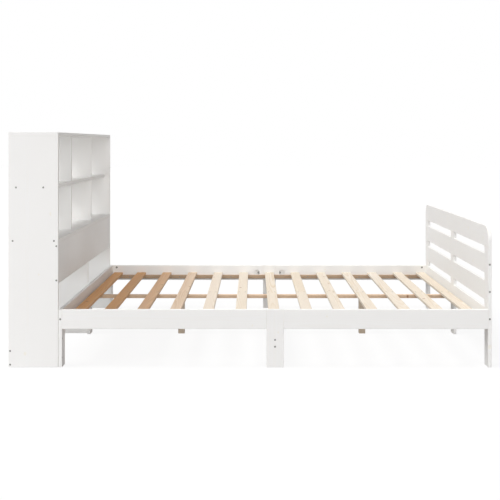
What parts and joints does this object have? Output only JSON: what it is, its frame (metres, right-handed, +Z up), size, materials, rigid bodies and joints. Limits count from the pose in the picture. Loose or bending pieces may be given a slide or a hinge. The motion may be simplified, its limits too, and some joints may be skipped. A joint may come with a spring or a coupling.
{
  "type": "bed frame",
  "caption": "White painted pine bed frame with a bookcase headboard, slatted footboard and pine slats for a double mattress.",
  "frame": {"origin": "on the floor, in the middle of the footprint", "axes": "+X from the bookcase headboard to the footboard, +Y across the bed to its far side, +Z up"},
  "size_m": [2.269, 1.834, 1.104],
  "materials": {
    "white_paint": "white satin paint on solid pine boards",
    "bare_pine": "planed pine, not painted",
    "dowel_beech": "fluted beech dowel, hidden in the joints",
    "zinc_steel": "zinc-plated steel"
  },
  "bodies": {
    "root": {"side_panel_near": "white_paint", "side_panel_far": "white_paint", "top_board": "white_paint", "upper_shelf": "white_paint", "middle_shelf": "white_paint", "upper_divider_near": "white_paint", "upper_divider_far": "white_paint", "lower_divider_near": "white_paint", "lower_divider_far": "white_paint", "centre_divider": "white_paint", "front_panel": "white_paint", "back_rail": "white_paint", "head_leg_near": "white_paint", "head_leg_middle": "white_paint", "head_leg_far": "white_paint", "head_board_near": "white_paint", "head_board_far": "white_paint", "rail_near_head": "white_paint", "rail_near_foot": "white_paint", "rail_far_head": "white_paint", "rail_far_foot": "white_paint", "middle_leg_near": "white_paint", "middle_leg_far": "white_paint", "stretcher": "white_paint", "foot_stile_near": "white_paint", "foot_stile_middle": "white_paint", "foot_stile_far": "white_paint", "foot_top_board": "white_paint", "foot_board_near_1": "white_paint", "foot_board_near_2": "white_paint", "foot_board_near_3": "white_paint", "foot_board_far_1": "white_paint", "foot_board_far_2": "white_paint", "foot_board_far_3": "white_paint", "ledger_near": "bare_pine", "ledger_far": "bare_pine", "centre_batten": "bare_pine", "batten_leg_head": "bare_pine", "batten_leg_middle": "bare_pine", "batten_leg_foot": "bare_pine", "slat_01": "bare_pine", "slat_02": "bare_pine", "slat_03": "bare_pine", "slat_04": "bare_pine", "slat_05": "bare_pine", "slat_06": "bare_pine", "slat_07": "bare_pine", "slat_08": "bare_pine", "slat_09": "bare_pine", "slat_10": "bare_pine", "slat_11": "bare_pine", "slat_12": "bare_pine", "slat_13": "bare_pine", "dowels": "dowel_beech", "board_screws": "zinc_steel", "long_screws": "zinc_steel", "slat_screws": "zinc_steel", "rail_bolts": "zinc_steel", "barrel_nuts": "zinc_steel", "joint_rods": "zinc_steel"}
  },
  "joints": []
}
